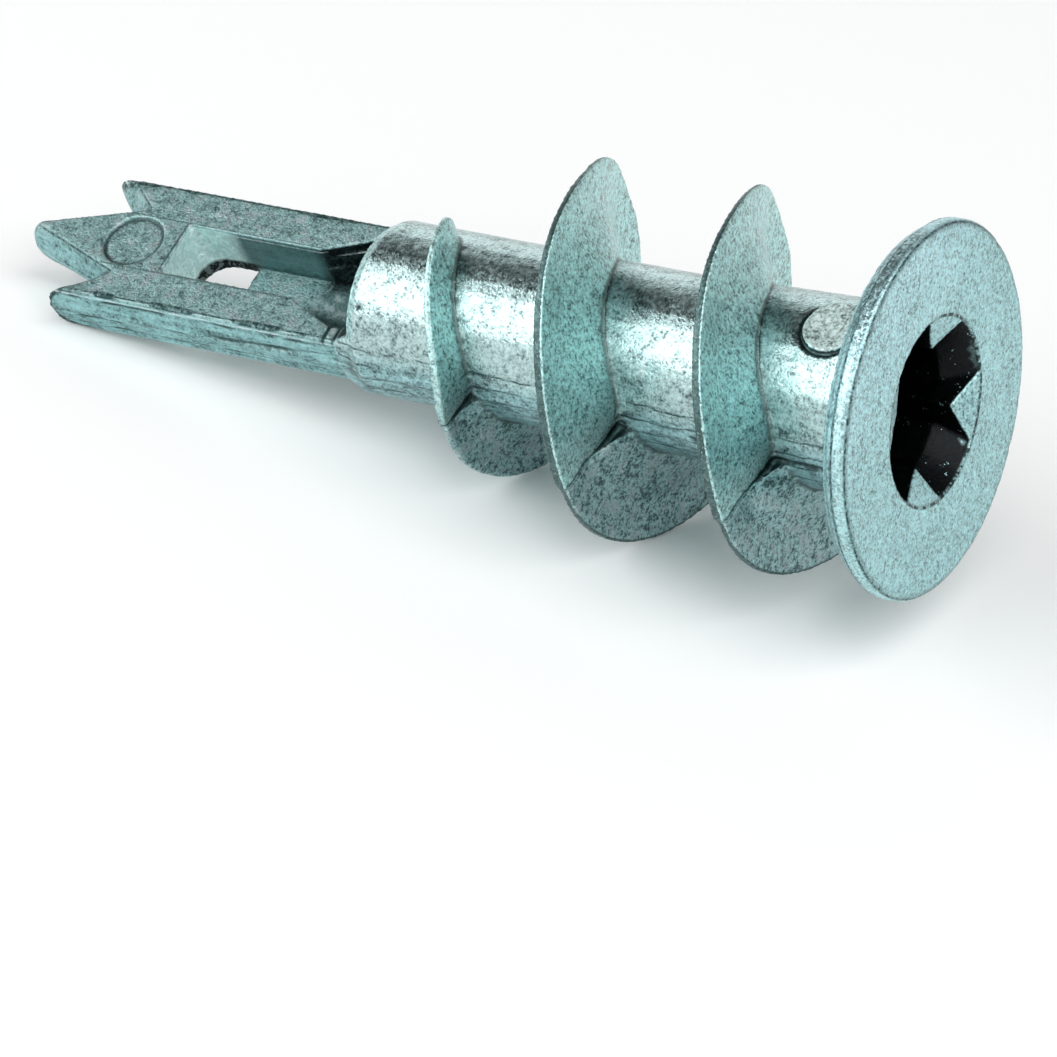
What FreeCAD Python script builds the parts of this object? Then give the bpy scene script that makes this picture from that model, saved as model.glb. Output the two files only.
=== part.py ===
import FreeCAD, Part
import math
import os

os.makedirs("parts", exist_ok=True)
V = FreeCAD.Vector

# Driving sizes in millimetres.
# The anchor is drawn along X: the flange's outer face is at X 0 and the tip points to -X.
# Z is the direction in which the two mould halves open, and the parting plane is Z 0.

# Flange
flange_radius = 6.45
flange_thickness = 1.0
flange_front_chamfer = 0.13
flange_rim_line_from_face = 0.56
flange_rim_step = 0.07
flange_back_chamfer = 0.27
flange_root_chamfer = 0.3

# Tube, slightly waisted, with a chamfered end
tube_length = 21.9
tube_root_radius = 3.38
tube_waist_radius = 3.08
tube_waist_from_face = 10.0
tube_end_radius = 3.11
tube_end_chamfer = 0.45
tube_end_face_radius = 2.92

# Screw bore, straight and then narrowing to a blunt point
bore_radius = 1.85
bore_straight_end = 22.6
bore_point_end = 25.3
bore_point_radius = 0.75

# Drive recess: a tapering round hole with four pointed ribs
recess_mouth_radius = 3.25
recess_neck_radius = 2.62
recess_neck_depth = 1.3
recess_floor_radius = 2.35
recess_depth = 5.6
rib_count = 4
rib_first_angle = 45.0
rib_top_cone_depth = 1.17
rib_mouth_tip_radius = 2.0
rib_mouth_half_width = 1.2
rib_floor_tip_radius = 1.93
rib_floor_half_width = 0.95
rib_root_depth = 0.25

# Thread: each turn is an upper and a lower half turn that meet in the parting plane.
# A half turn is drawn through sections at equal angles, from the near rim to the far rim.
# Each step says how far along X a section's crest stands from the near rim's crest.
thread_radius = 6.4
thread_rim_flat = 0.2
thread_pitch = 6.05
upper_steps = [0.0, -0.06, -0.70, -1.36, -1.95, -2.85, -3.40]
lower_steps = [0.10, 0.32, 0.78, 1.47, 1.95, 2.25]
section_angle = 30.0
thread_root_radius = 2.6
upper_crest_near_thickness = 0.38
lower_crest_near_thickness = 0.28
crest_far_thickness = 0.18
flank_knee_share = 0.38
flank_knee_lead = 0.1
front_lead_small = 0.85
front_lead_large = 1.35
back_lead_small = 0.35
back_lead_large = 0.75
full_turns = 2
first_full_turn_from_face = 11.33
start_pitch = 5.54
start_upper_angles = [0.0, 30.0, 60.0, 90.0, 106.0, 118.0]
start_upper_radii = [4.6, 4.42, 4.38, 4.38, 4.2, 2.9]
start_lower_radii = [4.6, 5.0, 5.3, 5.7, 6.0, 6.25, 6.2]

# Blade: flat, three points, thickest at the parting plane's edge line
blade_half_thickness = 1.0
blade_half_width = 2.72
blade_side_draft = 0.12
spur_face_end = 33.4
spur_edge_end = 34.45
notch_face_end = 31.95
notch_edge_end = 32.97
notch_half_width = 1.52
nose_face_end = 35.8
nose_edge_end = 36.5
nose_face_half_width = 0.14
nose_edge_half_width = 0.32

# Window in the blade, with the round ramp that turns the screw aside
window_tip_end = 30.1
window_half_width = 1.13
window_flare_start = 24.6
window_flare_end = 22.5
window_flare_half_width = 1.93
window_ledge_height = 0.56
window_ledge_width = 0.14
window_floor_drop = 0.75
window_corner_round = 0.12
ramp_lean = 0.4
ramp_corner_round = 1.02
through_hole_end = 27.8

# Keel under the blade that carries the end of the bore
keel_end = 26.4
keel_end_radius = 1.15
keel_root_radius = 2.75

# Round marks of the ejector pins, and the parting line
boss_radius = 1.07
blade_mark_radius = 1.12
blade_mark_from_face = 31.9
blade_mark_depth = 0.1
boss_from_face = 3.1
boss_height = 3.36
boss_from_middle = 0.13
parting_line_width = 0.16
parting_line_height = 0.06

# How it lies at rest
rest_roll = 28.54
rest_tilt = -10.52

# Small working lengths
overlap = 0.5
clear = 1.0


def revolve_about_x(points):
    wire = Part.makePolygon([V(x, r, 0) for x, r in points] + [V(points[0][0], points[0][1], 0)])
    return Part.Face(wire).revolve(V(0, 0, 0), V(1, 0, 0), 360)


def prism(points, z_low, z_high):
    wire = Part.makePolygon([V(x, y, z_low) for x, y in points] + [V(points[0][0], points[0][1], z_low)])
    return Part.Face(wire).extrude(V(0, 0, z_high - z_low))


def ruled_solid(low_wire, high_wire):
    return Part.makeLoft([low_wire, high_wire], True, True)


def closed_wire(points, z):
    return Part.makePolygon([V(x, y, z) for x, y in points] + [V(points[0][0], points[0][1], z)])


# Flange and tube, one turned outline: the rim is stepped where the mould halves meet its front plate
def make_flange_and_tube():
    back_rim_radius = flange_radius - flange_rim_step
    return revolve_about_x([
        (0, 0),
        (0, flange_radius - flange_front_chamfer),
        (-flange_front_chamfer, flange_radius),
        (-flange_rim_line_from_face, flange_radius),
        (-flange_rim_line_from_face, back_rim_radius),
        (-flange_thickness, back_rim_radius - flange_back_chamfer),
        (-flange_thickness, tube_root_radius + flange_root_chamfer),
        (-flange_thickness - flange_root_chamfer, tube_root_radius),
        (-tube_waist_from_face, tube_waist_radius),
        (tube_end_chamfer - tube_length, tube_end_radius),
        (-tube_length, tube_end_face_radius),
        (-tube_length, 0),
    ])


# One radial section of the thread: narrow crest, a knee in the front flank, wide foot
def thread_section(crest_x, radius, angle, side):
    far_share = (1 - math.cos(math.radians(angle))) / 2
    proud_share = far_share if side > 0 else 1 - far_share
    height_share = (radius - thread_root_radius) / (thread_radius - thread_root_radius)
    near_thickness = upper_crest_near_thickness if side > 0 else lower_crest_near_thickness
    half = (near_thickness + (crest_far_thickness - near_thickness) * far_share) / 2
    front_lead = front_lead_small + (front_lead_large - front_lead_small) * proud_share
    back_lead = back_lead_large + (back_lead_small - back_lead_large) * proud_share
    knee_radius = radius - flank_knee_share * (radius - thread_root_radius)
    front_foot = half + (front_lead - half) * height_share
    back_foot = half + (back_lead - half) * height_share
    outline = [
        (crest_x + half, radius),
        (crest_x + half + flank_knee_lead * height_share, knee_radius),
        (crest_x + front_foot, thread_root_radius),
        (crest_x - back_foot, thread_root_radius),
        (crest_x - half, radius),
    ]
    turn = math.radians(side * angle)
    p = [V(x, -r * math.cos(turn), r * math.sin(turn)) for x, r in outline]
    return Part.makePolygon(p + [p[0]])


# A half turn is lofted through its sections; a step between given angles is read off in proportion
def make_half_turn(near_crest_x, steps, angles, radii, side):
    sections = []
    for angle, radius in zip(angles, radii):
        i = min(int(angle / section_angle), len(steps) - 2)
        part = angle / section_angle - i
        step = steps[i] + (steps[i + 1] - steps[i]) * part
        sections.append(thread_section(near_crest_x + step, radius, angle, side))
    return Part.makeLoft(sections, True, False)


# The thread: a low start that sinks into the tube, then the full turns towards the flange
def make_thread():
    rim = thread_radius - thread_rim_flat
    angles = [section_angle * i for i in range(len(upper_steps))]
    full_radii = [rim] + [thread_radius] * 5 + [rim]
    lower_rise = thread_pitch + upper_steps[-1]
    half_turns = []
    for turn in range(full_turns):
        near = -first_full_turn_from_face + turn * thread_pitch
        half_turns.append(make_half_turn(near, upper_steps, angles, full_radii, 1))
        half_turns.append(make_half_turn(near, lower_steps + [lower_rise], angles, full_radii, -1))
    start = -first_full_turn_from_face - start_pitch
    start_rise = start_pitch + upper_steps[-1]
    start_lower_steps = [step * start_rise / lower_rise for step in lower_steps + [lower_rise]]
    start_upper_steps = [step * start_pitch / thread_pitch for step in upper_steps]
    half_turns.append(make_half_turn(start, start_upper_steps, start_upper_angles, start_upper_radii, 1))
    half_turns.append(make_half_turn(start, start_lower_steps, angles, start_lower_radii, -1))
    return half_turns


# The blade's outline, from the tube to the nose and back, at the parting plane or at a face
def blade_outline(half_width, spur_end, notch_end, nose_end, nose_half_width):
    root = overlap - tube_length
    upper = [(root, half_width), (-spur_end, half_width), (-notch_end, notch_half_width),
             (-nose_end, nose_half_width)]
    return upper + [(x, -y) for x, y in reversed(upper)]


def make_blade():
    edge = blade_outline(blade_half_width + blade_side_draft, spur_edge_end, notch_edge_end,
                         nose_edge_end, nose_edge_half_width)
    face = blade_outline(blade_half_width, spur_face_end, notch_face_end,
                         nose_face_end, nose_face_half_width)
    upper = ruled_solid(closed_wire(edge, 0), closed_wire(face, blade_half_thickness))
    lower = ruled_solid(closed_wire(edge, 0), closed_wire(face, -blade_half_thickness))
    return upper.fuse(lower).removeSplitter()


# Lower half cone that carries the bore's end under the blade
def make_keel():
    cone = revolve_about_x([(-keel_end, 0), (-keel_end, keel_end_radius),
                            (overlap - tube_length, keel_root_radius), (overlap - tube_length, 0)])
    below = Part.makeBox(4 * tube_length, 4 * tube_length, 2 * tube_length,
                         V(-3 * tube_length, -2 * tube_length, -2 * tube_length))
    return cone.common(below)


# The window's cut from above: square at the blade's face, round at the floor
def window_section(z, tip_end, corner):
    w = window_half_width
    s = corner * (1 - math.sqrt(0.5))
    tip = -tip_end
    end = -through_hole_end
    edges = [
        Part.makeLine(V(end, -w, z), V(tip + corner, -w, z)),
        Part.Arc(V(tip + corner, -w, z), V(tip + s, -w + s, z), V(tip, -w + corner, z)).toShape(),
        Part.makeLine(V(tip, -w + corner, z), V(tip, w - corner, z)),
        Part.Arc(V(tip, w - corner, z), V(tip + s, w - s, z), V(tip + corner, w, z)).toShape(),
        Part.makeLine(V(tip + corner, w, z), V(end, w, z)),
        Part.makeLine(V(end, w, z), V(end, -w, z)),
    ]
    return Part.Wire(edges)


def make_window_cut():
    top = blade_half_thickness
    ramp = ruled_solid(window_section(-top, window_tip_end - ramp_lean, ramp_corner_round),
                       window_section(top, window_tip_end, window_corner_round))
    w = window_half_width
    channel = prism([(-through_hole_end - overlap, -w), (-window_flare_start, -w),
                     (-window_flare_start, w), (-through_hole_end - overlap, w)],
                    -window_floor_drop, top + clear)
    ledge_half_width = window_flare_half_width + window_ledge_width
    flare = make_flare(window_flare_half_width, 0)
    above_ledge = make_flare(ledge_half_width, window_ledge_height)
    return ramp.fuse([channel, flare, above_ledge])


# The window widens towards the tube, and a little more above a narrow ledge
def make_flare(half_width, floor):
    w = window_half_width
    return prism([(-window_flare_start, w), (-window_flare_end, half_width), (-tube_length, half_width),
                  (-tube_length, -half_width), (-window_flare_end, -half_width), (-window_flare_start, -w)],
                 floor, blade_half_thickness + clear)


# Bore and drive recess, cut as one core; the ribs are what the core leaves standing
def make_core():
    bore = revolve_about_x([(clear, 0), (clear, bore_radius), (-bore_straight_end, bore_radius),
                            (-bore_point_end, bore_point_radius), (-bore_point_end, 0)])
    recess = revolve_about_x([(clear, 0), (clear, recess_mouth_radius), (0, recess_mouth_radius),
                              (-recess_neck_depth, recess_neck_radius),
                              (-recess_depth, recess_floor_radius), (-recess_depth, 0)])
    for i in range(rib_count):
        recess = recess.cut(make_rib(rib_first_angle + i * 360.0 / rib_count))
    rib_tops = revolve_about_x([(0, 0), (0, recess_mouth_radius), (-rib_top_cone_depth, 0)])
    return bore.fuse([recess, rib_tops])


# A rib's section: pointed inwards, and rooted behind the recess wall
def rib_section(x, tip_radius, half_width, wall_radius):
    base = math.sqrt(wall_radius ** 2 - half_width ** 2)
    root = wall_radius + rib_root_depth
    corners = [V(x, half_width, root), V(x, half_width, base), V(x, 0, tip_radius),
               V(x, -half_width, base), V(x, -half_width, root)]
    return Part.makePolygon(corners + [corners[0]])


def make_rib(angle):
    front = rib_section(0, rib_mouth_tip_radius, rib_mouth_half_width, recess_mouth_radius)
    back = rib_section(-recess_depth - overlap, rib_floor_tip_radius, rib_floor_half_width,
                       recess_floor_radius)
    rib = Part.makeLoft([front, back], True, True)
    rib.rotate(V(0, 0, 0), V(1, 0, 0), angle - 90.0)
    return rib


# Ejector pin boss on the tube beside the flange, and the sunk pin mark on the blade
def make_boss():
    return Part.makeCylinder(boss_radius, boss_height, V(-boss_from_face, boss_from_middle, 0), V(0, 0, 1))


def make_blade_mark():
    return Part.makeCylinder(blade_mark_radius, clear,
                             V(-blade_mark_from_face, 0, blade_half_thickness - blade_mark_depth),
                             V(0, 0, 1))


# Raised line where the mould halves meet, along both sides of the tube or of the blade
def make_parting_lines(start, end, half_width):
    reach = half_width + parting_line_height
    half = parting_line_width / 2
    return Part.makeBox(end - start, 2 * reach, 2 * half, V(-end, -reach, -half))


def make_anchor():
    solid = make_flange_and_tube()
    tube_lines = make_parting_lines(flange_thickness / 2, tube_length - tube_end_chamfer, tube_waist_radius)
    blade_lines = make_parting_lines(tube_length - overlap, notch_face_end, blade_half_width + blade_side_draft)
    added = [make_blade(), make_keel(), make_boss(), tube_lines, blade_lines] + make_thread()
    solid = solid.fuse(added)
    solid = solid.cut([make_window_cut(), make_core(), make_blade_mark()])
    return solid.removeSplitter()


# Lay it down as it rests: roll about its own axis, tilt the tip down, and stand it on Z 0
def lay_down(solid):
    solid.rotate(V(0, 0, 0), V(1, 0, 0), rest_roll)
    solid.rotate(V(0, 0, 0), V(0, 1, 0), rest_tilt)
    box = solid.optimalBoundingBox(False)
    solid.translate(V(-box.Center.x, -box.Center.y, -box.ZMin))
    return solid


anchor = make_anchor()
print("solids", len(anchor.Solids), "valid", anchor.isValid(), "volume", round(anchor.Volume, 1))
anchor = lay_down(anchor)
anchor.exportStep("parts/anchor_body.step")
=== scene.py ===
import math
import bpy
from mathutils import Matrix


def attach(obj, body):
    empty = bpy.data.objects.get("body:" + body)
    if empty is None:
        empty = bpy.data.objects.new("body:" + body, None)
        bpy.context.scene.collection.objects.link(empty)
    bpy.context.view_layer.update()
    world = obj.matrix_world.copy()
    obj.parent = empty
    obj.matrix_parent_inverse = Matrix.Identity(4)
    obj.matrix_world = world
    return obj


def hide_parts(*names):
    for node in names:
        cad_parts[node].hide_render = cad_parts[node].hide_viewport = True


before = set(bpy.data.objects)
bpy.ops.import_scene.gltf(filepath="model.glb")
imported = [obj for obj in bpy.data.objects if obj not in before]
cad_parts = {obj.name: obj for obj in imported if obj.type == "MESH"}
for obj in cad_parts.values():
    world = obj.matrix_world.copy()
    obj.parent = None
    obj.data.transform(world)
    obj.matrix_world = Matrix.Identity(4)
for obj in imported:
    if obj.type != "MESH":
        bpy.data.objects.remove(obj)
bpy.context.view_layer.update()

from types import SimpleNamespace

import bpy
import numpy as np
from mathutils import Matrix, Vector
from mathutils.kdtree import KDTree

# The anchor's own frame, in millimetres: X along its axis with the flange's face at 0 and the tips
# towards -X, Z the way the mould opens, -Y the near side. The anchor lies rolled and tilted.
MM = 0.001
REST_ROLL = 28.54
REST_TILT = -10.52
TO_ROW = Matrix.Rotation(math.radians(REST_TILT), 3, "Y") @ Matrix.Rotation(math.radians(REST_ROLL), 3, "X")
ORIGIN = Vector((17.380, 0.0, 8.240))

# Sizes of the casting
FLANGE_THICKNESS = 1.2
FLANGE_RIM_RADIUS = 6.15
RECESS_RADIUS = 3.25
RECESS_TAPER = 0.48
RECESS_FLOOR_RADIUS = 2.8
RIB_TOP_DROP = 1.17
TUBE_LENGTH = 21.9
THREAD_RADIUS = 6.4
BOSS_PLACE = (-3.1, 0.13)
BOSS_RADIUS = 1.07
BLADE_HALF_THICKNESS = 1.0
BLADE_HALF_WIDTH = 2.84
BLADE_SIDE_DRAFT = 0.12
PIN_MARK_PLACE = (-31.9, 0.0)
PIN_MARK_RADIUS = 1.12
WINDOW_HALF_WIDTH = 1.13
WINDOW_TIP_END = 30.2
POCKET_TIP_END = 25.1

# Corners of the blade's upper face, by their distance from the flange's face and from the middle,
# and how far the bevelled edges at the tips reach
NOTCH_ROOT = (31.95, 1.52)
NOSE_END = (35.8, 0.14)
SPUR_END = (33.4, 2.72)
NOSE_EDGE_END = 36.5
SPUR_EDGE_END = 34.45

# What this file changes on the solid's form: the tips are filled up to round ends, a little short of
# their longest reach, and the tube's end stands back above and beside the blade
TIP_ROUND_POWER = 2.0
TIP_FILL = 0.97
TIP_SHORT_OF_REACH = 0.16
TUBE_END_BACK = 0.5

# Lengthwise mould lines by their height Z, and on the blade also by their slope along X
BLADE_LINES = ((0.70, -0.01), (0.05, 0.045), (-0.58, 0.0))
BLADE_LINES_MIDDLE = -28.0
TUBE_LINES = (1.03, 0.45, -0.1, -0.75)

# Nicks across the near rail's end, a small pit in the tube, the crease between the half turns
RAIL_NICKS = (-22.43, -22.0)
PIT_PLACE = (-20.83, -2.06, 2.33)
CREASE_HEIGHT = 0.05

# The casting's mesh
VOXEL = 0.07
FINAL_TRIANGLES = 190000


# A point of the anchor's own frame in the row frame
def place(point):
    return (TO_ROW @ Vector(point) + ORIGIN) * MM


# A direction of the anchor's own frame in the row frame
def turn(direction):
    return TO_ROW @ Vector(direction)


# A steady number between -1 and 1 for each cell of a grid
def hashed(ix, iy, iz, seed):
    code = (ix * 73856093) ^ (iy * 19349663) ^ (iz * 83492791) ^ (seed * 2654435761)
    code = (code ^ (code >> 13)) * 1274126177
    code = (code ^ (code >> 16)) & 0xFFFFFF
    return code / float(0xFFFFFF) * 2.0 - 1.0


# Smooth noise between -1 and 1 with cells of the given size
def noise(points, size, seed):
    scaled = points / size
    cell = np.floor(scaled).astype(np.int64)
    inner = scaled - cell
    inner = inner * inner * (3.0 - 2.0 * inner)
    total = np.zeros(len(points))
    for dx in (0, 1):
        wx = inner[:, 0] if dx else 1 - inner[:, 0]
        for dy in (0, 1):
            wy = inner[:, 1] if dy else 1 - inner[:, 1]
            for dz in (0, 1):
                wz = inner[:, 2] if dz else 1 - inner[:, 2]
                total += wx * wy * wz * hashed(cell[:, 0] + dx, cell[:, 1] + dy, cell[:, 2] + dz, seed)
    return total


def smoothstep(value, low, high):
    t = np.clip((value - low) / (high - low), 0, 1)
    return t * t * (3 - 2 * t)


# Depth of a groove at a distance from its middle line
def groove(distance, depth, width):
    return depth * np.exp(-(distance / width) ** 2)


# Vertex places or normals of a mesh, one row each
def read(mesh, what):
    values = np.empty(len(mesh.vertices) * 3)
    mesh.vertices.foreach_get(what, values)
    return values.reshape(-1, 3)


def write_places(mesh, places):
    mesh.vertices.foreach_set("co", places.ravel())
    mesh.update()


# Places of the row frame, in millimetres, in the anchor's own frame, and back
def to_own(places):
    return (places - np.array(ORIGIN)) @ np.array(TO_ROW)


def from_own(own):
    return own @ np.array(TO_ROW).T + np.array(ORIGIN)


# Applies an object's modifiers, takes them off and returns its new mesh
def applied(ob):
    graph = bpy.context.evaluated_depsgraph_get()
    mesh = bpy.data.meshes.new_from_object(ob.evaluated_get(graph))
    ob.modifiers.clear()
    ob.vertex_groups.clear()
    ob.data = mesh
    return mesh


# A function that gives the mean of each vertex's neighbours
def averager(mesh):
    edges = np.empty(len(mesh.edges) * 2, dtype=np.int32)
    mesh.edges.foreach_get("vertices", edges)
    a, b = edges[0::2], edges[1::2]
    count = len(mesh.vertices)
    links = np.maximum(np.bincount(a, minlength=count) + np.bincount(b, minlength=count), 1)

    def around(values):
        return (np.bincount(a, values[b], count) + np.bincount(b, values[a], count)) / links
    return around


# Blender's smoothing, over all or over the chosen vertices
def soften(ob, name, rounds, chosen=None):
    made = ob.modifiers.new(name, "SMOOTH")
    made.factor = 0.5
    made.iterations = rounds
    if chosen is not None:
        group = ob.vertex_groups.new(name=name)
        group.add(np.flatnonzero(chosen).tolist(), 1.0, "REPLACE")
        made.vertex_group = name


# An even skin of small faces over a CAD node, in millimetres
def skin_over(node):
    mesh = node.data.copy()
    mesh.transform(Matrix.Scale(1.0 / MM, 4))
    mesh.materials.clear()
    ob = bpy.data.objects.new("work", mesh)
    bpy.context.collection.objects.link(ob)
    weld = ob.modifiers.new("weld", "WELD")
    weld.merge_threshold = 0.002
    remesh = ob.modifiers.new("remesh", "REMESH")
    remesh.mode = "VOXEL"
    remesh.voxel_size = VOXEL
    remesh.use_smooth_shade = True
    return ob


# The thread's flanks, clear of root and crest, on the stretch with the full thread
def thread_flanks(own, own_normal):
    x = own[:, 0]
    radius = np.hypot(own[:, 1], own[:, 2])
    flank = (radius > 3.5) & (radius < 6.05) & (np.abs(own_normal[:, 0]) > 0.5)
    return flank & (x < -1.3) & (x > -18.5)


# The ends of the nose and of the spurs
def blade_tips(own):
    x = own[:, 0]
    return (x < -35.2) | ((x < -33.0) & (np.abs(own[:, 1]) > 1.9))


# Fills one tip from its plain bevels up to a round end
def round_tip(own, inside, face_end, edge_end, blend_start, lower_power):
    reach = edge_end - face_end
    z = np.clip(own[:, 2], -1, 1)
    bevel = reach * (1 - np.abs(z))
    power = np.where(z < 0, lower_power, TIP_ROUND_POWER)
    full = reach * (1 - np.abs(z) ** power) ** (1 / power) * TIP_FILL
    own[:, 0] -= (full - bevel) * inside * smoothstep(-own[:, 0], blend_start, face_end)
    own[inside, 0] = np.maximum(own[inside, 0], TIP_SHORT_OF_REACH - edge_end)


# The nose is round above and below, the spurs are squarer below
def round_tips(own):
    sideways = np.abs(own[:, 1])
    round_tip(own, sideways < 1.0, NOSE_END[0], NOSE_EDGE_END, blend_start=34.9, lower_power=2.0)
    round_tip(own, sideways > 1.7, SPUR_END[0], SPUR_EDGE_END, blend_start=32.7, lower_power=3.0)


# Sets the tube's end back above and beside the blade, fading out along the tube
def set_back_tube_end(own):
    x, y, z = own.T
    blade_side = BLADE_HALF_WIDTH - BLADE_SIDE_DRAFT * np.minimum(np.abs(z), 1.0)
    above = smoothstep(z, BLADE_HALF_THICKNESS, BLADE_HALF_THICKNESS + 0.35)
    beside = smoothstep(np.abs(y) - blade_side, 0.02, 0.10)
    near_end = smoothstep(-x, TUBE_LENGTH - 1.5, TUBE_LENGTH - 0.1) * (x > -TUBE_LENGTH - 0.4)
    own[:, 0] += TUBE_END_BACK * near_end * np.maximum(above, beside)


# The even skin with round tips, the tube's end set back and the edges eased as a die leaves them
def eased_skin():
    work = skin_over(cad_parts["anchor_body"])
    dense = applied(work)
    own = to_own(read(dense, "co"))
    flanks = thread_flanks(own, read(dense, "normal") @ np.array(TO_ROW))
    tips = blade_tips(own)
    round_tips(own)
    set_back_tube_end(own)
    write_places(dense, from_own(own))
    soften(work, "all", rounds=2)
    soften(work, "flanks", rounds=40, chosen=flanks)
    soften(work, "tips", rounds=26, chosen=tips)
    applied(work)
    return work


# Depth of the as-cast skin: gentle waves, grain and small pits
def skin_depth(co):
    waves = 0.008 * noise(co, size=1.6, seed=11)
    grain = 0.006 * noise(co, size=0.36, seed=12)
    pits = 0.06 * np.clip(noise(co, size=0.5, seed=13) - 0.55, 0, 1)
    return np.clip(0.010 + waves + grain + pits, 0.0, 0.08)


# Depth of the broken lengthwise mould lines on the sides of the blade and of the tube
def mould_lines(own, own_normal):
    x, y, z = own.T
    zero = np.zeros(len(own))
    radius = np.hypot(y, z)
    shift = 0.05 * noise(np.stack([x, zero, zero], axis=1), size=1.1, seed=21)
    broken = np.clip(0.45 + 0.8 * noise(np.stack([x, z * 3, zero], axis=1), size=0.7, seed=22), 0, 1)
    on_blade = smoothstep(np.abs(y), 2.55, 2.7) * smoothstep(np.abs(own_normal[:, 1]), 0.5, 0.8)
    on_blade *= (x < -TUBE_LENGTH) * smoothstep(x, -33.9, -33.0)
    on_tube = (radius > 2.95) * (radius < 3.35) * (np.abs(y) > 2.7) * (x > -TUBE_LENGTH) * (x < -1.4)
    cut = np.zeros(len(own))
    for height, rise in BLADE_LINES:
        across = z - height - rise * (x - BLADE_LINES_MIDDLE) - shift
        cut += on_blade * broken * groove(across, depth=0.06, width=0.055)
    for height in TUBE_LINES:
        cut += on_tube * broken * groove(z - height - shift, depth=0.05, width=0.05)
    return cut


# Depth of the rings round the ejector pin's boss and round the pin mark
def pin_rings(own):
    x, y, z = own.T
    from_boss = np.hypot(x - BOSS_PLACE[0], y - BOSS_PLACE[1])
    from_mark = np.hypot(x - PIN_MARK_PLACE[0], y - PIN_MARK_PLACE[1])
    at_boss = (z > 1.5) * (np.hypot(y, z) < 3.4) * (x < -1.35)
    boss_ring = groove(from_boss - BOSS_RADIUS - 0.04, depth=0.10, width=0.07)
    mark_ring = groove(from_mark - PIN_MARK_RADIUS + 0.04, depth=0.04, width=0.06)
    return boss_ring * at_boss + mark_ring * (z > 0.8)


# Depth of the crease where the half turns meet, a wedge at its root
def crease_wedge(co, own):
    x, y, z = own.T
    radius = np.hypot(y, z)
    wedge = np.clip(1 - (radius - 3.1) / 1.5, 0, 1)
    on_flank = (radius > 3.15) * (radius < 6.2) * (x < -1.4) * (x > -21.5) * (y < 0)
    from_crease = z - CREASE_HEIGHT - 0.02 * noise(co, size=0.3, seed=23)
    return groove(from_crease, depth=0.03 + 0.06 * wedge, width=0.04 + 0.12 * wedge) * on_flank


# Depth of the nicks across the near rail's end and of the pit in the tube beside it
def nicks_and_pit(own):
    x, y, z = own.T
    from_pit = np.linalg.norm(own - np.array(PIT_PLACE), axis=1)
    cut = groove(from_pit, depth=0.07, width=0.11) * (np.hypot(y, z) > 2.9)
    on_rail = (y < -1.8) * (y > -2.7) * (z > 0.75) * (x < -21.6)
    for nick in RAIL_NICKS:
        cut += groove(x - nick, depth=0.05, width=0.06) * on_rail
    return cut


# How far the skin bends out, above 0, or in, below 0, at each vertex
def bending(mesh):
    co = read(mesh, "co")
    around = averager(mesh)
    mean = np.stack([around(co[:, k]) for k in range(3)], axis=1)
    amount = np.einsum("ij,ij->i", co - mean, read(mesh, "normal")) / VOXEL
    for _ in range(4):
        amount = (amount + around(amount)) / 2
    return amount


# Cuts the relief into a mesh and returns its vertices' shares of convex bend, for a painted highlight, of
# concave bend, for painted shade, and of cut depth, for painted shade in the grooves and pits
def cut_relief(mesh):
    co = read(mesh, "co")
    own = to_own(co)
    normal = read(mesh, "normal")
    cut = mould_lines(own, normal @ np.array(TO_ROW)) + pin_rings(own)
    cut += crease_wedge(co, own) + nicks_and_pit(own)
    write_places(mesh, co - normal * (skin_depth(co) + cut)[:, None])
    bent = bending(mesh)
    return {
        "edge_highlight": smoothstep(bent, 0.03, 0.12),
        "crease": smoothstep(-bent, 0.015, 0.06),
        "groove_shade": smoothstep(cut, 0.01, 0.06),
    }


# Thins an object's mesh, whose vertices then take the shares of the nearest ones before
def thinned(ob, shares):
    before = read(ob.data, "co")
    triangles = sum(len(face.vertices) - 2 for face in ob.data.polygons)
    decimate = ob.modifiers.new("decimate", "DECIMATE")
    decimate.ratio = FINAL_TRIANGLES / triangles
    mesh = applied(ob)
    tree = KDTree(len(before))
    for i, point in enumerate(before):
        tree.insert(point, i)
    tree.balance()
    nearest = [tree.find(point)[1] for point in read(mesh, "co")]
    for name, share in shares.items():
        stored = mesh.attributes.new(name, "FLOAT", "POINT")
        stored.data.foreach_set("value", share[nearest].astype(np.float32))
    return mesh


# The casting: the eased skin with its relief, thinned and back in metres
def anchor_casting():
    work = eased_skin()
    mesh = thinned(work, cut_relief(work.data))
    bpy.data.objects.remove(work)
    mesh.transform(Matrix.Scale(MM, 4))
    mesh.polygons.foreach_set("use_smooth", [True] * len(mesh.polygons))
    mesh.materials.clear()
    casting = bpy.data.objects.new("anchor_casting", mesh)
    bpy.context.collection.objects.link(casting)
    return casting


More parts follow.
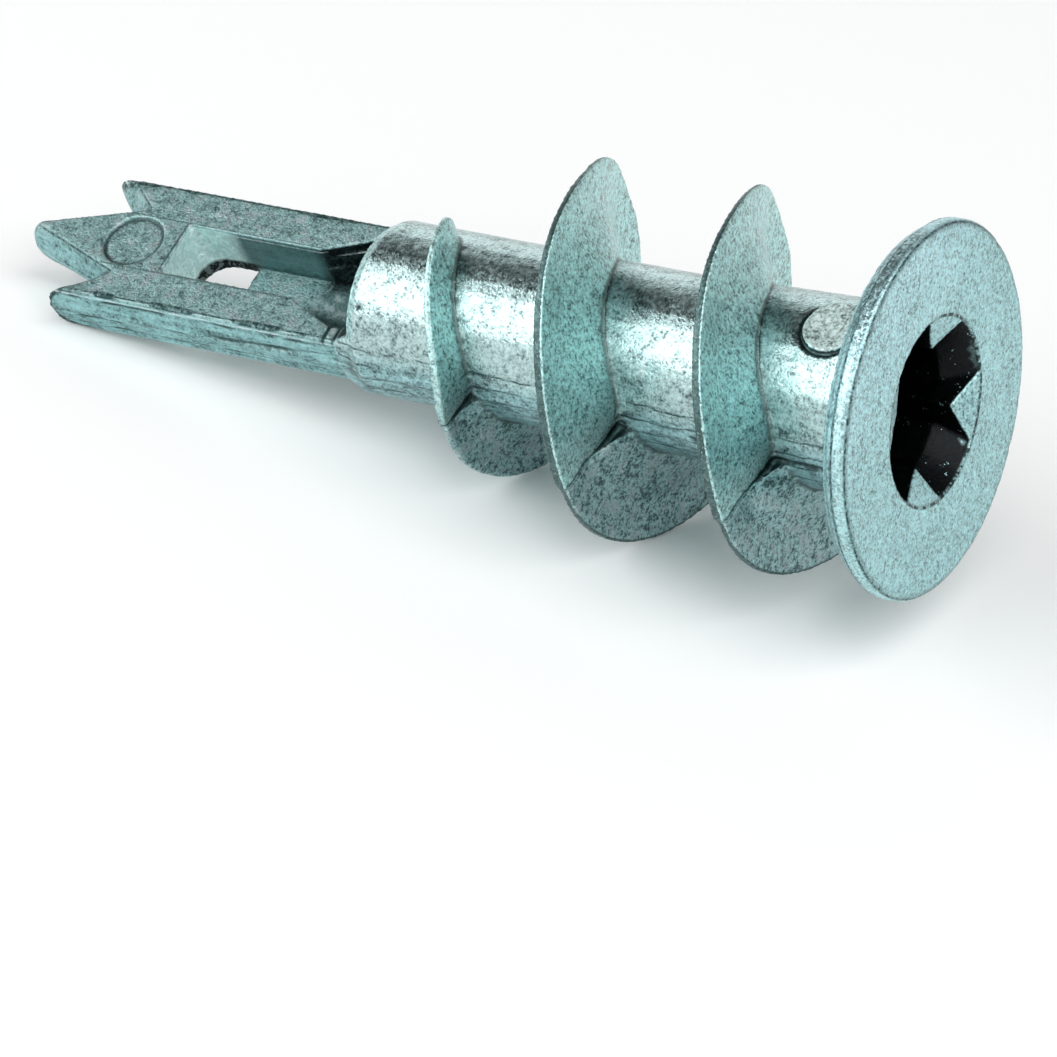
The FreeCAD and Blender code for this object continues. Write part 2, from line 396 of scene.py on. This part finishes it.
# Adds nodes to one material. Values are sockets or plain numbers, shares run from 0 to 1, and lengths
# are in millimetres.
class Network:
    def __init__(self, material):
        self.tree = material.node_tree
        self.shader = self.tree.nodes["Principled BSDF"]
        self.coord = self.add("ShaderNodeTexCoord")

    def add(self, kind, **values):
        made = self.tree.nodes.new(kind)
        for name, value in values.items():
            setattr(made, name, value)
        return made

    def fill(self, socket, value):
        if isinstance(value, (float, tuple)):
            socket.default_value = value
        else:
            self.tree.links.new(value, socket)

    def calc(self, kind, a, b=0.0, clamp=False):
        made = self.add("ShaderNodeMath", operation=kind, use_clamp=clamp)
        self.fill(made.inputs[0], a)
        self.fill(made.inputs[1], b)
        return made.outputs["Value"]

    # A share that rises from 0 to 1 as a value passes a limit, over the given softness
    def above(self, value, limit, softness):
        return self.calc("DIVIDE", self.calc("SUBTRACT", value, limit), softness, clamp=True)

    def below(self, value, limit, softness):
        return self.above(limit, value, softness)

    def near(self, value, middle, half_width, softness):
        gap = self.calc("ABSOLUTE", self.calc("SUBTRACT", value, middle))
        return self.below(gap, half_width, softness)

    def both(self, *shares):
        total = shares[0]
        for share in shares[1:]:
            total = self.calc("MULTIPLY", total, share)
        return total

    def either(self, *shares):
        total = shares[0]
        for share in shares[1:]:
            total = self.calc("MAXIMUM", total, share)
        return total

    def added(self, a, b):
        return self.calc("ADD", a, b)

    # Length of the step (u, v)
    def distance(self, u, v):
        return self.calc("SQRT", self.added(self.both(u, u), self.both(v, v)))

    # A thin line through two points of the plane (u, v)
    def slanted_line(self, start, end, u, v):
        du, dv = end[0] - start[0], end[1] - start[1]
        size = math.hypot(du, dv)
        across = self.calc("SUBTRACT", self.both(u, dv / size), self.both(v, du / size))
        return self.near(across, (start[0] * dv - start[1] * du) / size, 0.07, 0.06)

    def mixed(self, a, b, share):
        made = self.add("ShaderNodeMix", data_type="FLOAT")
        self.fill(made.inputs["Factor"], share)
        self.fill(made.inputs["A"], a)
        self.fill(made.inputs["B"], b)
        return made.outputs["Result"]

    def toned(self, colour, share, target):
        made = self.add("ShaderNodeMix", data_type="RGBA")
        self.fill(made.inputs["Factor"], share)
        self.fill(made.inputs["A"], colour)
        made.inputs["B"].default_value = (*target, 1)
        return made.outputs["Result"]

    def ranged(self, value, low, high, new_low, new_high):
        made = self.add("ShaderNodeMapRange")
        made.inputs["From Min"].default_value = low
        made.inputs["From Max"].default_value = high
        made.inputs["To Min"].default_value = new_low
        made.inputs["To Max"].default_value = new_high
        self.fill(made.inputs["Value"], value)
        return made.outputs["Result"]

    def grains(self, size, detail, roughness):
        made = self.add("ShaderNodeTexNoise")
        made.inputs["Scale"].default_value = 1.0 / (size * MM)
        made.inputs["Detail"].default_value = detail
        made.inputs["Roughness"].default_value = roughness
        self.fill(made.inputs["Vector"], self.coord.outputs["Object"])
        return made.outputs["Fac"]

    # How far the surface faces a direction of the anchor's own frame
    def facing(self, direction):
        made = self.add("ShaderNodeVectorMath", operation="DOT_PRODUCT")
        made.inputs[1].default_value = turn(direction)
        self.fill(made.inputs[0], self.coord.outputs["Normal"])
        return made.outputs["Value"]

    def stored(self, name):
        return self.add("ShaderNodeAttribute", attribute_name=name).outputs["Fac"]


# Where a point is in the anchor's own frame: back from the flange's face, sideways from the middle,
# its radius from the axis. Also which way it faces, and the noises, from fine to broad.
def measures(net):
    own_frame = net.add("ShaderNodeMapping", vector_type="TEXTURE")
    own_frame.inputs["Location"].default_value = ORIGIN * MM
    own_frame.inputs["Rotation"].default_value = TO_ROW.to_euler()
    own_frame.inputs["Scale"].default_value = (MM, MM, MM)
    net.fill(own_frame.inputs["Vector"], net.coord.outputs["Object"])
    axes = net.add("ShaderNodeSeparateXYZ")
    net.fill(axes.inputs["Vector"], own_frame.outputs["Vector"])
    x, y, z = axes.outputs

    drawn_out = net.add("ShaderNodeMapping")
    drawn_out.inputs["Scale"].default_value = (0.35, 1.0, 3.5)
    net.fill(drawn_out.inputs["Vector"], own_frame.outputs["Vector"])
    streaks = net.add("ShaderNodeTexNoise")
    streaks.inputs["Scale"].default_value = 1.4
    streaks.inputs["Detail"].default_value = 3.0
    net.fill(streaks.inputs["Vector"], drawn_out.outputs["Vector"])

    at = SimpleNamespace(x=x, y=y, z=z, streaks=streaks.outputs["Fac"])
    at.back = net.both(x, -1.0)
    at.near_side = net.both(y, -1.0)
    at.sideways = net.calc("ABSOLUTE", y)
    at.radius = net.distance(y, z)
    at.beyond_boss = net.calc("SUBTRACT", x, BOSS_PLACE[0])
    at.from_boss = net.distance(at.beyond_boss, net.calc("SUBTRACT", y, BOSS_PLACE[1]))
    at.up = net.facing((0, 0, 1))
    at.front = net.facing((1, 0, 0))
    at.fine = net.grains(0.09, 2.0, 0.6)
    at.medium = net.grains(0.19, 2.0, 0.5)
    at.blotch = net.grains(0.55, 3.0, 0.55)
    at.broad = net.grains(1.6, 3.0, 0.5)
    at.ragged = net.above(at.medium, 0.44, 0.1)
    at.specks = net.both(net.above(at.fine, 0.6, 0.04), net.above(at.medium, 0.5, 0.05))
    return at


# Shares of the casting's parts
def regions(net, at):
    part = SimpleNamespace()
    part.behind_flange = net.above(at.back, FLANGE_THICKNESS + 0.05, 0.1)
    part.blade = net.above(at.back, TUBE_LENGTH + 0.05, 0.1)
    round_part = net.both(part.behind_flange, net.below(at.back, TUBE_LENGTH + 0.05, 0.1))
    part.tube = net.both(round_part, net.below(net.calc("ABSOLUTE", at.front), 0.6, 0.3),
                         net.below(at.radius, 3.9, 0.1))
    part.tube_low = net.both(part.tube, net.below(at.z, 1.1, 0.8))
    part.thread = net.both(round_part, net.calc("SUBTRACT", 1.0, part.tube))
    part.near_thread = net.both(part.thread, net.below(at.y, 0.0, 0.1))
    part.low_half = net.both(part.near_thread, net.below(at.z, 0.05, 0.1))
    part.blade_side = net.both(part.blade, net.below(net.calc("ABSOLUTE", at.up), 0.6, 0.25))
    part.blade_top = net.above(net.both(part.blade, at.up), 0.5, 0.2)
    part.upper_flange = net.both(net.below(at.back, FLANGE_THICKNESS + 0.05, 0.1),
                                 net.above(at.z, 2.0, 4.0), 0.6)
    part.flange_rim = net.both(net.below(at.back, FLANGE_THICKNESS - 0.05, 0.05),
                               net.above(at.radius, FLANGE_RIM_RADIUS, 0.05))
    part.crest = net.both(part.thread, net.above(at.radius, THREAD_RADIUS - 0.35, 0.05))
    part.boss_face = net.both(part.behind_flange, net.below(at.from_boss, BOSS_RADIUS, 0.1),
                              net.above(at.z, 2.8, 0.1), net.below(at.radius, 3.7, 0.1))
    return part


# Shares of the blade's window: its lit end wall, its shaded far wall under a bright ledge line, and
# the foot of its ramp
def window_shares(net, at, part):
    window = net.both(part.blade, net.below(at.sideways, WINDOW_HALF_WIDTH + 0.12, 0.05),
                      net.below(at.back, WINDOW_TIP_END, 0.05),
                      net.below(at.z, BLADE_HALF_THICKNESS - 0.06, 0.04))
    part.end_wall = net.both(window, net.above(at.back, 28.0, 0.3))
    part.far_wall = net.both(window, net.below(at.back, 28.6, 0.6),
                             net.above(at.y, WINDOW_HALF_WIDTH - 0.12, 0.05))
    part.ledge_line = net.both(window, net.below(at.back, 28.6, 0.4), net.above(at.y, 0.9, 0.05),
                               net.near(at.z, 0.80, 0.05, 0.05))
    part.ramp_foot = net.both(window, net.above(at.back, 27.6, 0.3), net.below(at.z, -0.50, 0.12),
                              net.above(at.z, -0.97, 0.03))


# Shares of the pocket before the tube's end, of a bright line on its wall and of the trough below it
def pocket_shares(net, at, part):
    past_tube = net.above(at.back, TUBE_LENGTH - 0.15, 0.1)
    part.pocket = net.both(net.below(at.back, POCKET_TIP_END, 0.7), past_tube,
                           net.below(at.z, BLADE_HALF_THICKNESS - 0.06, 0.05),
                           net.below(at.sideways, 2.2, 0.05), net.above(at.z, -BLADE_HALF_THICKNESS, 0.3))
    part.pocket_line = net.both(part.pocket, net.near(at.z, 0.56, 0.04, 0.05), net.above(at.y, 1.3, 0.05))
    part.trough = net.both(net.below(at.back, POCKET_TIP_END + 0.1, 0.6), past_tube,
                           net.below(at.z, -0.65, 0.05), net.below(at.radius, 2.1, 0.1),
                           net.mixed(0.75, 0.25, net.above(at.blotch, 0.5, 0.1)))


# Light and dark of the grain: even on the flange, coarse and strong on the thread and the blade
def speckle(net, at, part):
    even = net.mixed(net.mixed(at.fine, at.medium, 0.35), at.broad, 0.25)
    strong = net.mixed(net.mixed(at.fine, at.medium, 0.45), at.blotch,
                       net.mixed(0.12, 0.25, part.low_half))
    gain = net.mixed(net.mixed(net.mixed(1.25, 1.8, part.low_half), 1.05, part.tube), 0.85, part.blade)
    strong = net.added(net.both(net.calc("SUBTRACT", strong, 0.5), gain), 0.5)
    tone = net.mixed(net.mixed(even, strong, 0.45), strong, net.either(part.thread, part.blade, part.tube))

    drawn = net.either(part.blade_side, net.both(part.tube, net.above(at.near_side, 2.5, 0.3)))
    streaked = net.both(net.calc("SUBTRACT", at.streaks, 0.5), net.mixed(0.3, 0.4, part.blade))
    tone = net.added(tone, net.both(streaked, drawn))
    patches = net.ranged(at.blotch, 0.35, 0.65, -0.035, 0.035)
    tone = net.added(tone, net.both(patches, net.either(part.blade, part.tube)))

    ramp = net.add("ShaderNodeValToRGB")
    stops = ramp.color_ramp.elements
    stops[0].position, stops[0].color = 0.34, (0.20, 0.22, 0.22, 1)
    stops[1].position, stops[1].color = 0.64, (1.35, 1.30, 1.30, 1)
    stops.new(0.5).color = (0.95, 0.95, 0.95, 1)
    net.fill(ramp.inputs["Fac"], tone)
    return ramp.outputs["Color"]


# The plain colour of each part, times the speckle. The upper flange is paler as painted light. The tube's
# low side, the thread's lower half and the blade are darker as painted shade, the tube's low side also more
# teal. The boss face is paler, partly painted light.
def plain_colour(net, at, part):
    greyer = net.both(net.above(at.blotch, 0.5, 0.12), net.either(part.low_half, part.blade_top), 0.5)
    colour = (0.42, 0.69, 0.71, 1)
    for share, target in (
        # Painted light: the flange paler towards its top
        (part.upper_flange, (0.56, 0.84, 0.90)),
        (part.tube, (0.42, 0.58, 0.58)),
        # Painted shade, with a more teal tint: the tube's low side darker
        (part.tube_low, (0.33, 0.54, 0.56)),
        (part.thread, (0.48, 0.75, 0.74)),
        # Painted shade: the thread's lower half darker
        (part.low_half, (0.34, 0.52, 0.53)),
        # Painted shade: the blade darker, its sides too
        (part.blade, (0.30, 0.48, 0.48)),
        (part.blade_side, (0.28, 0.50, 0.51)),
        # Partly painted light: the boss face paler
        (part.boss_face, (0.72, 0.86, 0.84)),
        (greyer, (0.33, 0.36, 0.38)),
    ):
        colour = net.toned(colour, share, target)
    made = net.add("ShaderNodeMix", data_type="RGBA", blend_type="MULTIPLY")
    made.inputs["Factor"].default_value = 1.0
    net.fill(made.inputs["A"], colour)
    net.fill(made.inputs["B"], speckle(net, at, part))
    return made.outputs["Result"]


# Painted shade: dark lines along the thread's crests and along the rim of its lower half
def crest_lines(net, at, part):
    crest = net.both(part.crest, net.below(at.front, 0.45, 0.2), net.mixed(0.85, 1.0, at.ragged))
    low_rim = net.both(part.thread, net.below(at.z, 0.0, 0.3),
                       net.above(at.radius, THREAD_RADIUS - 0.14, 0.05), net.mixed(0.75, 1.0, at.ragged))
    return net.either(crest, low_rim)


# Dark lines round the flange's rim, painted shade over its back part, and ragged dark patches at its top
def flange_lines(net, at, part):
    lines = net.either(net.near(at.back, 0.52, 0.08, 0.05), net.near(at.back, 0.05, 0.05, 0.04))
    lines = net.both(part.flange_rim, lines)
    back = net.both(part.flange_rim, net.above(at.back, 0.72, 0.06), 0.45)
    top = net.both(part.flange_rim, net.above(at.z, 5.5, 0.6), net.above(at.back, 0.15, 0.05))
    top = net.both(top, at.ragged, 0.8)
    return net.either(lines, back, top)


# Dark lines along the edges of the blade's upper face and round the spurs' ends
def blade_edges(net, at, part):
    swelling = net.both(net.above(at.broad, 0.48, 0.12), 0.09)
    rails = net.either(net.near(at.sideways, SPUR_END[1] - 0.10, net.added(swelling, 0.06), 0.05),
                       net.near(at.sideways, WINDOW_HALF_WIDTH + 0.08, 0.05, 0.06))
    rails = net.both(rails, net.below(at.back, SPUR_END[0], 0.1))
    window_end = net.both(net.near(at.back, WINDOW_TIP_END, 0.06, 0.06), net.below(at.sideways, 1.2, 0.05))
    to_nose = net.slanted_line(NOTCH_ROOT, NOSE_END, at.back, at.sideways)
    to_spur = net.slanted_line(NOTCH_ROOT, SPUR_END, at.back, at.sideways)
    tips = net.both(net.either(to_nose, to_spur), net.above(at.back, NOTCH_ROOT[0], 0.1))
    upper_face = net.both(part.blade, net.above(at.z, BLADE_HALF_THICKNESS - 0.12, 0.05))
    reach = net.calc("DIVIDE", net.either(net.calc("SUBTRACT", at.back, 33.1), 0.0), 1.25)
    from_middle = net.added(net.both(reach, reach), net.both(at.z, at.z))
    spur_outline = net.both(part.blade, net.above(at.sideways, 2.2, 0.2), net.above(at.back, 32.2, 1.2),
                            net.above(from_middle, 0.66, 0.12))
    return net.either(net.both(upper_face, net.either(rails, window_end, tips)), spur_outline)


# Broken dark lines along the sides of the blade and of the tube
def lengthwise_lines(net, at, part):
    wandering = net.added(at.z, net.both(net.calc("SUBTRACT", at.broad, 0.5), 0.5))
    on_blade = net.both(part.blade, net.above(at.sideways, 2.55, 0.1), net.above(at.streaks, 0.50, 0.1))
    on_tube = net.both(part.tube, net.above(at.sideways, 2.6, 0.1), net.above(at.streaks, 0.43, 0.08))
    lines = []
    for height, rise in BLADE_LINES:
        climb = net.both(net.calc("SUBTRACT", at.x, BLADE_LINES_MIDDLE), rise)
        line = net.near(net.calc("SUBTRACT", wandering, climb), height, 0.04, 0.04)
        lines.append(net.both(on_blade, line, 0.8))
    for height in TUBE_LINES:
        lines.append(net.both(on_tube, net.near(wandering, height, 0.06, 0.05)))
    return net.either(*lines)


def rail_nicks(net, at, part):
    on_rail = net.both(part.blade, net.below(at.y, -1.85, 0.1), net.above(at.z, 0.75, 0.05))
    return net.either(*[net.both(on_rail, net.near(at.x, nick, 0.10, 0.05)) for nick in RAIL_NICKS])


# Painted shade: the dark crescent beside the boss, on its side wall turned from the light
def boss_crescent(net, at):
    return net.both(net.above(at.z, 0.0, 0.1), net.near(at.from_boss, BOSS_RADIUS + 0.09, 0.06, 0.05),
                    net.below(at.beyond_boss, 0.4, 0.8), net.below(at.radius, 3.36, 0.03),
                    net.above(at.back, FLANGE_THICKNESS, 0.1), net.mixed(0.5, 1.0, at.ragged))


# Painted highlights: pale lines beside the dark ones, and pale glints on the rims
def pale_lines(net, at, part):
    beside_edge = net.both(part.blade, net.above(at.sideways, 2.45, 0.1), net.near(at.z, 0.82, 0.06, 0.06))
    rim_light = net.both(part.flange_rim, net.near(at.back, 0.3, 0.05, 0.06), 0.7)
    rim_specks = net.both(net.either(part.crest, part.flange_rim), at.specks)
    return net.both(net.either(beside_edge, rim_light, rim_specks), net.mixed(0.8, 0.3, at.ragged))


# The crease where the half turns meet, with a shade above its root
def crease_shade(net, at, part):
    wavy = net.added(net.both(net.calc("SUBTRACT", at.medium, 0.5), 0.25), at.z)
    half_width = net.added(net.both(net.below(at.radius, 4.6, 1.5), 0.17), 0.05)
    line = net.both(part.near_thread, net.near(wavy, CREASE_HEIGHT, half_width, 0.05))
    shade = net.both(part.near_thread, net.below(at.z, 2.0, 1.9), net.above(at.z, 0.0, 0.04),
                     net.below(at.radius, 5.6, 2.2), net.mixed(0.7, 1.0, net.above(at.medium, 0.5, 0.1)))
    return net.either(line, shade)


# Painted shade: the recess and the bore behind the ribs' sloping tops are darkened, with a few specks left
# out as painted glints
def cavity_shade(net, at):
    rib_tops = net.calc("SUBTRACT", net.both(at.radius, RIB_TOP_DROP / RECESS_RADIUS), RIB_TOP_DROP + 0.05)
    wall = net.either(net.added(net.both(at.x, RECESS_TAPER), RECESS_RADIUS + 0.03), RECESS_FLOOR_RADIUS)
    inside = net.both(net.below(at.x, rib_tops, 0.05), net.below(at.radius, wall, 0.02),
                      net.below(at.back, TUBE_LENGTH, 0.05))
    return net.both(inside, net.below(net.both(at.specks, net.above(at.blotch, 0.53, 0.05)), 0.9, 0.4))


# The dark lines apart from those along the crests, with the painted shade on the flange's rim and beside
# the boss; the grain weakens most of them in places
def dark_lines(net, at, part):
    lines = net.either(flange_lines(net, at, part), blade_edges(net, at, part),
                       lengthwise_lines(net, at, part))
    weakened = net.both(lines, net.mixed(0.55, 1.0, at.ragged))
    return net.either(weakened, rail_nicks(net, at, part), boss_crescent(net, at))


# All that lies over the plain colour, from the lowest layer to the top one: its share and its colour. Many
# layers are painted highlights and painted shade.
def layers(net, at, part):
    under_crease = net.both(part.near_thread, net.near(at.z, -0.13, 0.04, 0.04),
                            net.above(at.radius, 3.9, 0.3))
    mouth = net.both(net.near(at.radius, RECESS_RADIUS, 0.09, 0.05), net.below(at.back, 0.2, 0.05))
    return (
        # Painted highlight on the convex bends of the skin
        (net.both(net.stored("edge_highlight"), 0.12), (0.72, 0.84, 0.85)),
        # Painted shade in the concave bends of the skin
        (net.both(net.stored("crease"), 0.85), (0.05, 0.095, 0.09)),
        # Painted light on the window's end wall
        (net.both(part.end_wall, net.mixed(1.0, 0.7, at.ragged)), (0.80, 1.0, 0.98)),
        # Painted shade on the window's far wall
        (net.both(part.far_wall, 0.7), (0.12, 0.22, 0.22)),
        # Painted shade in the cut grooves, nicks and pits
        (net.both(net.stored("groove_shade"), net.mixed(0.6, 0.95, at.ragged)), (0.035, 0.06, 0.065)),
        (net.both(crease_shade(net, at, part), 0.9), (0.015, 0.03, 0.03)),
        # Painted highlight on the ledge under the crease
        (net.both(under_crease, net.mixed(0.2, 0.7, at.ragged)), (0.75, 0.90, 0.90)),
        (crest_lines(net, at, part), (0.06, 0.115, 0.115)),
        (dark_lines(net, at, part), (0.03, 0.07, 0.07)),
        (pale_lines(net, at, part), (0.82, 0.94, 0.95)),
        (net.both(mouth, net.mixed(0.25, 1.0, at.ragged)), (0.03, 0.055, 0.055)),
        # Painted shade in the pocket
        (net.both(part.pocket, net.mixed(0.75, 0.98, at.ragged)), (0.012, 0.02, 0.02)),
        # Painted highlight along the line on the pocket's wall
        (net.both(part.pocket_line, net.mixed(0.9, 0.5, at.ragged)), (0.80, 0.92, 0.92)),
        # Painted shade in the trough
        (part.trough, (0.05, 0.10, 0.10)),
        # Painted shade at the ramp's foot
        (net.both(part.ramp_foot, net.mixed(0.8, 1.0, at.ragged)), (0.01, 0.015, 0.015)),
        # Painted highlight along the ledge line
        (net.both(part.ledge_line, net.mixed(0.5, 0.95, at.ragged)), (0.90, 0.97, 0.97)),
        (cavity_shade(net, at), (0.008, 0.010, 0.011)),
    )


# Smoothest on the tube, roughest on the window's end wall and on the boss
def roughness(net, at, part):
    level = net.mixed(net.mixed(0.42, 0.52, part.blade), 0.25, part.tube)
    level = net.mixed(level, 0.65, net.either(part.end_wall, part.boss_face))
    level = net.mixed(level, 0.38, part.tube_low)
    return net.added(level, net.ranged(at.medium, 0.3, 0.7, -0.09, 0.09))


# The grain as a bump, half as strong on the tube
def grain_bump(net, at, part):
    bump = net.add("ShaderNodeBump")
    bump.inputs["Strength"].default_value = 0.9
    bump.inputs["Distance"].default_value = 0.05 * MM
    height = net.both(net.mixed(at.fine, at.medium, 0.3), net.mixed(1.0, 0.5, part.tube))
    net.fill(bump.inputs["Height"], height)
    return bump.outputs["Normal"]


# The zinc: matt grey with a blue-green cast, speckled, smoother where the tube rubbed on the die
def cast_zinc():
    material = bpy.data.materials.new("cast_zinc")
    material.use_nodes = True
    net = Network(material)
    at = measures(net)
    part = regions(net, at)
    window_shares(net, at, part)
    pocket_shares(net, at, part)
    colour = plain_colour(net, at, part)
    for share, target in layers(net, at, part):
        colour = net.toned(colour, share, target)
    net.fill(net.shader.inputs["Base Color"], colour)
    net.fill(net.shader.inputs["Roughness"], roughness(net, at, part))
    net.fill(net.shader.inputs["Normal"], grain_bump(net, at, part))
    net.shader.inputs["Metallic"].default_value = 1.0
    net.shader.inputs["Coat Weight"].default_value = 0.15
    net.shader.inputs["Coat Roughness"].default_value = 0.28
    return material


casting = anchor_casting()
casting.data.materials.append(cast_zinc())
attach(casting, "root")
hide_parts("anchor_body")


# Half the floor's side, in metres
FLOOR_HALF = 1.5


def pale_floor():
    corners = [(-FLOOR_HALF, -FLOOR_HALF, 0), (FLOOR_HALF, -FLOOR_HALF, 0),
               (FLOOR_HALF, FLOOR_HALF, 0), (-FLOOR_HALF, FLOOR_HALF, 0)]
    mesh = bpy.data.meshes.new("floor")
    mesh.from_pydata(corners, [], [(0, 1, 2, 3)])
    floor = bpy.data.objects.new("floor", mesh)
    bpy.context.collection.objects.link(floor)
    paint = bpy.data.materials.new("floor_paint")
    paint.use_nodes = True
    shader = paint.node_tree.nodes["Principled BSDF"]
    shader.inputs["Base Color"].default_value = (0.99, 0.995, 0.995, 1)
    shader.inputs["Roughness"].default_value = 0.9
    shader.inputs["Specular IOR Level"].default_value = 0.0
    mesh.materials.append(paint)
    return floor


pale_floor()

# The camera at the photo's viewing angle, given in the anchor's own frame
IMAGE_SIZE = 1057
FOCAL_PIXELS = 6000.434
SENSOR_WIDTH = 36
CAMERA_PLACE = (85.577, -107.57, 144.021)
CAMERA_RIGHT = (0.85544, 0.43968, -0.27369)
CAMERA_DOWN = (0.18008, -0.74800, -0.63880)
CAMERA_FORWARD = (-0.48559, 0.49717, -0.71904)


def photo_camera():
    data = bpy.data.cameras.new("camera")
    data.sensor_width = SENSOR_WIDTH
    data.lens = FOCAL_PIXELS / IMAGE_SIZE * SENSOR_WIDTH
    data.clip_start = 0.01
    data.clip_end = 10.0
    camera = bpy.data.objects.new("camera", data)
    bpy.context.collection.objects.link(camera)
    columns = (turn(CAMERA_RIGHT), -turn(CAMERA_DOWN), -turn(CAMERA_FORWARD), place(CAMERA_PLACE))
    camera.matrix_world = Matrix([[column[row] for column in columns] for row in range(3)] + [[0, 0, 0, 1]])
    return camera


bpy.context.scene.camera = photo_camera()

# What the studio's lamps look at
CENTRE = Vector((0.0, 0.0, 0.007))


# A soft area lamp that looks at the centre
def lamp(name, offset, size, watts):
    data = bpy.data.lights.new(name, "AREA")
    data.shape = "RECTANGLE"
    data.size, data.size_y = size
    data.energy = watts
    ob = bpy.data.objects.new(name, data)
    bpy.context.collection.objects.link(ob)
    ob.location = CENTRE + Vector(offset)
    ob.rotation_euler = (-Vector(offset)).to_track_quat("-Z", "Y").to_euler()


# Pale towards the horizon, dimmer overhead
def studio():
    world = bpy.data.worlds.new("studio")
    world.use_nodes = True
    tree = world.node_tree
    coord = tree.nodes.new("ShaderNodeTexCoord")
    axes = tree.nodes.new("ShaderNodeSeparateXYZ")
    level = tree.nodes.new("ShaderNodeMapRange")
    for name, value in (("From Min", 0.48), ("From Max", 0.72), ("To Min", 0.65), ("To Max", 0.06)):
        level.inputs[name].default_value = value
    background = tree.nodes["Background"]
    background.inputs["Color"].default_value = (1, 1, 1, 1)
    tree.links.new(coord.outputs["Generated"], axes.inputs["Vector"])
    tree.links.new(axes.outputs["Z"], level.inputs["Value"])
    tree.links.new(level.outputs["Result"], background.inputs["Strength"])
    return world


lamp("key", offset=(-0.328, -0.295, 0.235), size=(0.60, 0.36), watts=1.75)
lamp("fill", offset=(0.25, -0.15, 0.40), size=(0.50, 0.50), watts=1.9)
lamp("back", offset=(-0.30, 0.45, 0.20), size=(0.50, 0.22), watts=0.30)
bpy.context.scene.world = studio()
bpy.context.scene.view_settings.view_transform = "Standard"
